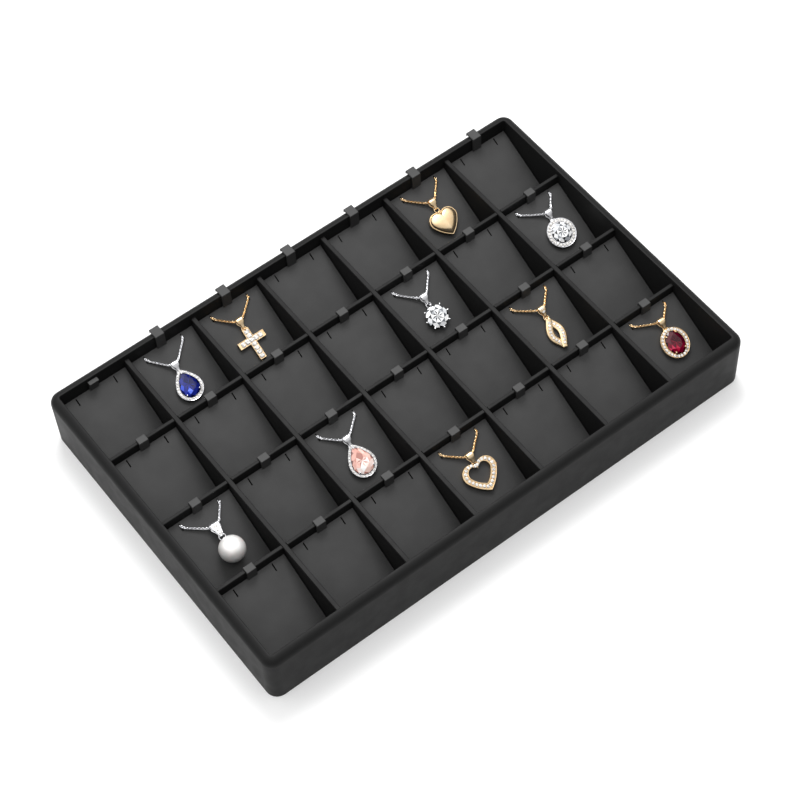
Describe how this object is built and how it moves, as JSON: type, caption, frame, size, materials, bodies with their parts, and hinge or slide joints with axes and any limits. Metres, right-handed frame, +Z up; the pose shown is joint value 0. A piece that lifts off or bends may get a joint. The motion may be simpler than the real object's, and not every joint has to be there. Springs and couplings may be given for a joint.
{
  "type": "pendant display tray",
  "caption": "Low open tray with a grid of cells, a lift-out sloping pad in each cell, and pendants on short chain drapes over some of the pads.",
  "frame": {"origin": "middle of the underside, on the surface that the tray stands on", "axes": "+X along the long side, with column 1 at the low end; +Y to the back, where the hooks go over the rim; +Z up"},
  "size_m": [0.3472, 0.2268, 0.0424],
  "materials": {
    "tray_plastic": "satin moulded",
    "pad_plastic": "fine matt",
    "gold": "polished gold plate",
    "silver": "polished silver",
    "blue_stone": "faceted",
    "pink_stone": "faceted",
    "red_stone": "faceted",
    "clear_stone": "faceted",
    "pearl_skin": "lustrous"
  },
  "bodies": {
    "root": {"tray_body": "tray_plastic", "column_divider_1": "tray_plastic", "column_divider_2": "tray_plastic", "column_divider_3": "tray_plastic", "column_divider_4": "tray_plastic", "column_divider_5": "tray_plastic", "column_divider_6": "tray_plastic", "row_divider_1": "tray_plastic", "row_divider_2": "tray_plastic", "row_divider_3": "tray_plastic"},
    "lifted_r1_c1": {"ramp_r1_c1": "pad_plastic"},
    "lifted_r1_c2": {"ramp_r1_c2": "pad_plastic", "chain_pear_blue": "silver"},
    "lifted_r1_c3": {"ramp_r1_c3": "pad_plastic", "chain_cross": "gold"},
    "lifted_r1_c4": {"ramp_r1_c4": "pad_plastic"},
    "lifted_r1_c5": {"ramp_r1_c5": "pad_plastic"},
    "lifted_r1_c6": {"ramp_r1_c6": "pad_plastic", "chain_heart": "gold"},
    "lifted_r1_c7": {"ramp_r1_c7": "pad_plastic"},
    "lifted_r2_c1": {"ramp_r2_c1": "pad_plastic"},
    "lifted_r2_c2": {"ramp_r2_c2": "pad_plastic"},
    "lifted_r2_c3": {"ramp_r2_c3": "pad_plastic"},
    "lifted_r2_c4": {"ramp_r2_c4": "pad_plastic"},
    "lifted_r2_c5": {"ramp_r2_c5": "pad_plastic", "chain_solitaire": "silver"},
    "lifted_r2_c6": {"ramp_r2_c6": "pad_plastic"},
    "lifted_r2_c7": {"ramp_r2_c7": "pad_plastic", "chain_halo_round": "silver"},
    "lifted_r3_c1": {"ramp_r3_c1": "pad_plastic", "chain_pearl": "silver"},
    "lifted_r3_c2": {"ramp_r3_c2": "pad_plastic"},
    "lifted_r3_c3": {"ramp_r3_c3": "pad_plastic", "chain_pear_pink": "silver"},
    "lifted_r3_c4": {"ramp_r3_c4": "pad_plastic"},
    "lifted_r3_c5": {"ramp_r3_c5": "pad_plastic"},
    "lifted_r3_c6": {"ramp_r3_c6": "pad_plastic", "chain_twist": "gold"},
    "lifted_r3_c7": {"ramp_r3_c7": "pad_plastic"},
    "lifted_r4_c1": {"ramp_r4_c1": "pad_plastic"},
    "lifted_r4_c2": {"ramp_r4_c2": "pad_plastic"},
    "lifted_r4_c3": {"ramp_r4_c3": "pad_plastic"},
    "lifted_r4_c4": {"ramp_r4_c4": "pad_plastic", "chain_open_heart": "gold"},
    "lifted_r4_c5": {"ramp_r4_c5": "pad_plastic"},
    "lifted_r4_c6": {"ramp_r4_c6": "pad_plastic"},
    "lifted_r4_c7": {"ramp_r4_c7": "pad_plastic", "chain_oval_red": "gold"},
    "turned_pear_blue": {"pendant_pear_blue": "silver"},
    "turned_cross": {"pendant_cross": "gold"},
    "turned_heart": {"pendant_heart": "gold"},
    "turned_solitaire": {"pendant_solitaire": "silver"},
    "turned_halo_round": {"pendant_halo_round": "silver"},
    "turned_pearl": {"pendant_pearl": "silver"},
    "turned_pear_pink": {"pendant_pear_pink": "silver"},
    "turned_twist": {"pendant_twist": "gold"},
    "turned_open_heart": {"pendant_open_heart": "gold"},
    "turned_oval_red": {"pendant_oval_red": "gold"}
  },
  "joints": [
    {"name": "lift_r1_c1", "type": "slide", "parent": "root", "child": "lifted_r1_c1", "axis": [0, 0, 1], "range_m": [0, 0.036]},
    {"name": "lift_r1_c2", "type": "slide", "parent": "root", "child": "lifted_r1_c2", "axis": [0, 0, 1], "range_m": [0, 0.036]},
    {"name": "lift_r1_c3", "type": "slide", "parent": "root", "child": "lifted_r1_c3", "axis": [0, 0, 1], "range_m": [0, 0.036]},
    {"name": "lift_r1_c4", "type": "slide", "parent": "root", "child": "lifted_r1_c4", "axis": [0, 0, 1], "range_m": [0, 0.036]},
    {"name": "lift_r1_c5", "type": "slide", "parent": "root", "child": "lifted_r1_c5", "axis": [0, 0, 1], "range_m": [0, 0.036]},
    {"name": "lift_r1_c6", "type": "slide", "parent": "root", "child": "lifted_r1_c6", "axis": [0, 0, 1], "range_m": [0, 0.036]},
    {"name": "lift_r1_c7", "type": "slide", "parent": "root", "child": "lifted_r1_c7", "axis": [0, 0, 1], "range_m": [0, 0.036]},
    {"name": "lift_r2_c1", "type": "slide", "parent": "root", "child": "lifted_r2_c1", "axis": [0, 0, 1], "range_m": [0, 0.036]},
    {"name": "lift_r2_c2", "type": "slide", "parent": "root", "child": "lifted_r2_c2", "axis": [0, 0, 1], "range_m": [0, 0.036]},
    {"name": "lift_r2_c3", "type": "slide", "parent": "root", "child": "lifted_r2_c3", "axis": [0, 0, 1], "range_m": [0, 0.036]},
    {"name": "lift_r2_c4", "type": "slide", "parent": "root", "child": "lifted_r2_c4", "axis": [0, 0, 1], "range_m": [0, 0.036]},
    {"name": "lift_r2_c5", "type": "slide", "parent": "root", "child": "lifted_r2_c5", "axis": [0, 0, 1], "range_m": [0, 0.036]},
    {"name": "lift_r2_c6", "type": "slide", "parent": "root", "child": "lifted_r2_c6", "axis": [0, 0, 1], "range_m": [0, 0.036]},
    {"name": "lift_r2_c7", "type": "slide", "parent": "root", "child": "lifted_r2_c7", "axis": [0, 0, 1], "range_m": [0, 0.036]},
    {"name": "lift_r3_c1", "type": "slide", "parent": "root", "child": "lifted_r3_c1", "axis": [0, 0, 1], "range_m": [0, 0.036]},
    {"name": "lift_r3_c2", "type": "slide", "parent": "root", "child": "lifted_r3_c2", "axis": [0, 0, 1], "range_m": [0, 0.036]},
    {"name": "lift_r3_c3", "type": "slide", "parent": "root", "child": "lifted_r3_c3", "axis": [0, 0, 1], "range_m": [0, 0.036]},
    {"name": "lift_r3_c4", "type": "slide", "parent": "root", "child": "lifted_r3_c4", "axis": [0, 0, 1], "range_m": [0, 0.036]},
    {"name": "lift_r3_c5", "type": "slide", "parent": "root", "child": "lifted_r3_c5", "axis": [0, 0, 1], "range_m": [0, 0.036]},
    {"name": "lift_r3_c6", "type": "slide", "parent": "root", "child": "lifted_r3_c6", "axis": [0, 0, 1], "range_m": [0, 0.036]},
    {"name": "lift_r3_c7", "type": "slide", "parent": "root", "child": "lifted_r3_c7", "axis": [0, 0, 1], "range_m": [0, 0.036]},
    {"name": "lift_r4_c1", "type": "slide", "parent": "root", "child": "lifted_r4_c1", "axis": [0, 0, 1], "range_m": [0, 0.036]},
    {"name": "lift_r4_c2", "type": "slide", "parent": "root", "child": "lifted_r4_c2", "axis": [0, 0, 1], "range_m": [0, 0.036]},
    {"name": "lift_r4_c3", "type": "slide", "parent": "root", "child": "lifted_r4_c3", "axis": [0, 0, 1], "range_m": [0, 0.036]},
    {"name": "lift_r4_c4", "type": "slide", "parent": "root", "child": "lifted_r4_c4", "axis": [0, 0, 1], "range_m": [0, 0.036]},
    {"name": "lift_r4_c5", "type": "slide", "parent": "root", "child": "lifted_r4_c5", "axis": [0, 0, 1], "range_m": [0, 0.036]},
    {"name": "lift_r4_c6", "type": "slide", "parent": "root", "child": "lifted_r4_c6", "axis": [0, 0, 1], "range_m": [0, 0.036]},
    {"name": "lift_r4_c7", "type": "slide", "parent": "root", "child": "lifted_r4_c7", "axis": [0, 0, 1], "range_m": [0, 0.036]},
    {"name": "flip_pear_blue", "type": "hinge", "parent": "lifted_r1_c2", "child": "turned_pear_blue", "pos_m": [-0.097, 0.09286, 0.02687], "axis": [-1, 0, 0], "range_deg": [0, 90]},
    {"name": "flip_cross", "type": "hinge", "parent": "lifted_r1_c3", "child": "turned_cross", "pos_m": [-0.0486, 0.09411, 0.02751], "axis": [-1, 0, 0], "range_deg": [0, 90]},
    {"name": "flip_heart", "type": "hinge", "parent": "lifted_r1_c6", "child": "turned_heart", "pos_m": [0.09835, 0.09313, 0.02701], "axis": [-1, 0, 0], "range_deg": [0, 90]},
    {"name": "flip_solitaire", "type": "hinge", "parent": "lifted_r2_c5", "child": "turned_solitaire", "pos_m": [0.04965, 0.03856, 0.02687], "axis": [-1, 0, 0], "range_deg": [0, 90]},
    {"name": "flip_halo_round", "type": "hinge", "parent": "lifted_r2_c7", "child": "turned_halo_round", "pos_m": [0.1491, 0.04039, 0.02781], "axis": [-1, 0, 0], "range_deg": [0, 90]},
    {"name": "flip_pearl", "type": "hinge", "parent": "lifted_r3_c1", "child": "turned_pearl", "pos_m": [-0.1422, -0.01449, 0.02751], "axis": [-1, 0, 0], "range_deg": [0, 90]},
    {"name": "flip_pear_pink", "type": "hinge", "parent": "lifted_r3_c3", "child": "turned_pear_pink", "pos_m": [-0.0482, -0.0144, 0.02755], "axis": [-1, 0, 0], "range_deg": [0, 90]},
    {"name": "flip_twist", "type": "hinge", "parent": "lifted_r3_c6", "child": "turned_twist", "pos_m": [0.09895, -0.01409, 0.02772], "axis": [-1, 0, 0], "range_deg": [0, 90]},
    {"name": "flip_open_heart", "type": "hinge", "parent": "lifted_r4_c4", "child": "turned_open_heart", "pos_m": [0.0007, -0.06848, 0.02767], "axis": [-1, 0, 0], "range_deg": [0, 90]},
    {"name": "flip_oval_red", "type": "hinge", "parent": "lifted_r4_c7", "child": "turned_oval_red", "pos_m": [0.14865, -0.06652, 0.02867], "axis": [-1, 0, 0], "range_deg": [0, 90]}
  ]
}
